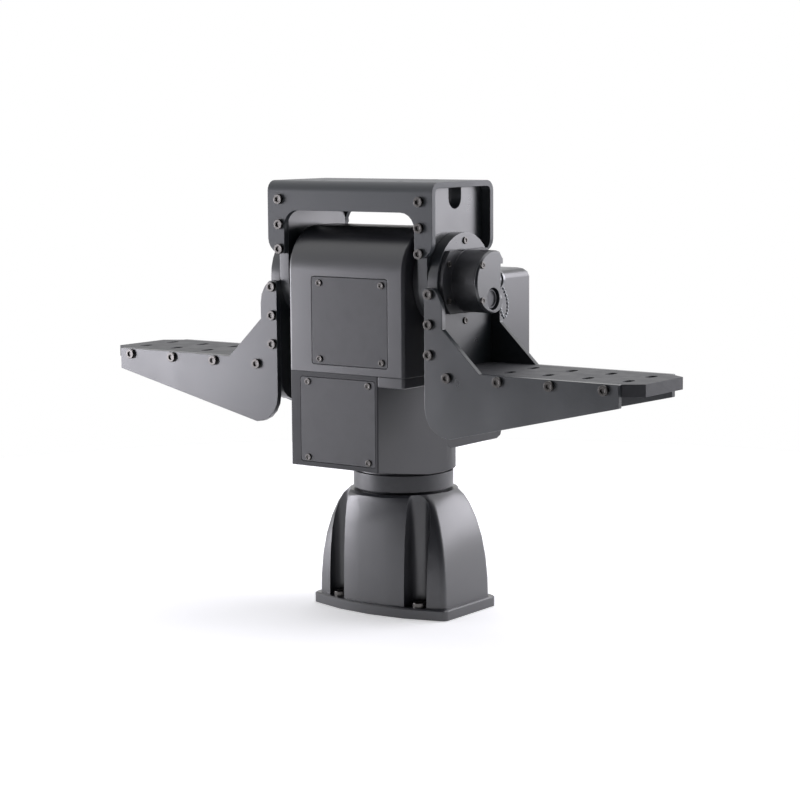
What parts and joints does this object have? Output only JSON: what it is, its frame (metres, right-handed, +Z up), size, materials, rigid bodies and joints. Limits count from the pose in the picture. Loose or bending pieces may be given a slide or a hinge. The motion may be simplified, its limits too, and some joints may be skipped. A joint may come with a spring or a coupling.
{
  "type": "remote pan tilt head",
  "caption": "Motorised pan and tilt head: bell-shaped foot, boxed drive housing, and a tilting cradle with a bridge bracket above and a slotted payload shelf on each side.",
  "frame": {"origin": "on the pan axis, at the underside of the base", "axes": "+X along the tilt axis to the side with the connector pod, -Y the front with the two covers, +Z up"},
  "size_m": [0.5528, 0.1906, 0.377],
  "materials": {
    "cast_coat": "satin textured paint on cast aluminium",
    "plate_coat": "satin coated machined plate",
    "black_coat": "satin black paint",
    "steel": "ground steel",
    "bronze": "machined bronze",
    "nickel": "matt nickel plate",
    "rubber": "moulded rubber",
    "board": "circuit board"
  },
  "bodies": {
    "base": {"base_casting": "cast_coat", "foot_plate": "black_coat", "base_connector_left": "nickel", "base_connector_right": "nickel", "neck_ring": "black_coat", "pan_post": "steel", "slip_ring": "rubber", "pan_worm_wheel": "bronze"},
    "head": {"lower_housing": "cast_coat", "housing_side_flange": "cast_coat", "rear_housing": "cast_coat", "pan_bearing_lower": "steel", "pan_bearing_upper": "steel", "pan_bearing_carrier": "steel", "lower_front_cover": "black_coat", "lower_cover_gasket": "rubber", "upper_housing": "cast_coat", "upper_front_cover": "black_coat", "upper_cover_gasket": "rubber", "rear_cover": "black_coat", "rear_cover_gasket": "rubber", "control_board": "board", "pan_worm_bearing_near": "steel", "pan_worm_bearing_far": "steel", "pan_drive_bracket": "plate_coat", "pan_motor": "black_coat", "tilt_worm_bearing_near": "steel", "tilt_worm_bearing_far": "steel", "tilt_drive_bracket": "plate_coat", "tilt_motor": "black_coat", "tilt_bearing_left": "steel", "tilt_bearing_right": "steel", "tilt_seal_left": "rubber", "tilt_seal_right": "rubber"},
    "cradle": {"tilt_shaft": "steel", "tilt_worm_wheel": "bronze", "top_bracket": "plate_coat", "connector_pod": "black_coat", "pod_cover": "plate_coat", "accessory_connector": "nickel", "dust_cap": "black_coat", "side_cap": "black_coat", "tilt_hub_left": "black_coat", "end_plate_left": "plate_coat", "side_plate_left": "plate_coat", "shelf_left": "plate_coat", "gusset_left_front": "plate_coat", "gusset_left_back": "plate_coat", "tilt_hub_right": "black_coat", "end_plate_right": "plate_coat", "side_plate_right": "plate_coat", "shelf_right": "plate_coat", "gusset_right_front": "plate_coat", "gusset_right_back": "plate_coat"},
    "pan_worm_shaft": {"pan_worm": "steel"},
    "tilt_worm_shaft": {"tilt_worm": "steel"}
  },
  "joints": [
    {"name": "pan", "type": "hinge", "parent": "base", "child": "head", "pos_m": [0, 0, 0.1239], "axis": [0, 0, 1], "continuous": true},
    {"name": "tilt", "type": "hinge", "parent": "head", "child": "cradle", "pos_m": [0.0131, -0.0501, 0.295], "axis": [1, 0, 0], "range_deg": [-30, 90]},
    {"name": "pan_worm_turn", "type": "hinge", "parent": "head", "child": "pan_worm_shaft", "pos_m": [0, -0.03965, 0.1594], "axis": [1, 0, 0], "continuous": true},
    {"name": "tilt_worm_turn", "type": "hinge", "parent": "head", "child": "tilt_worm_shaft", "pos_m": [-0.0224, -0.0501, 0.25535], "axis": [0, 1, 0], "range_deg": [-1270, 3790]}
  ],
  "couplings": [
    {"joint": "pan_worm_turn", "follows": "pan", "ratio": -42},
    {"joint": "tilt_worm_turn", "follows": "tilt", "ratio": 42}
  ]
}
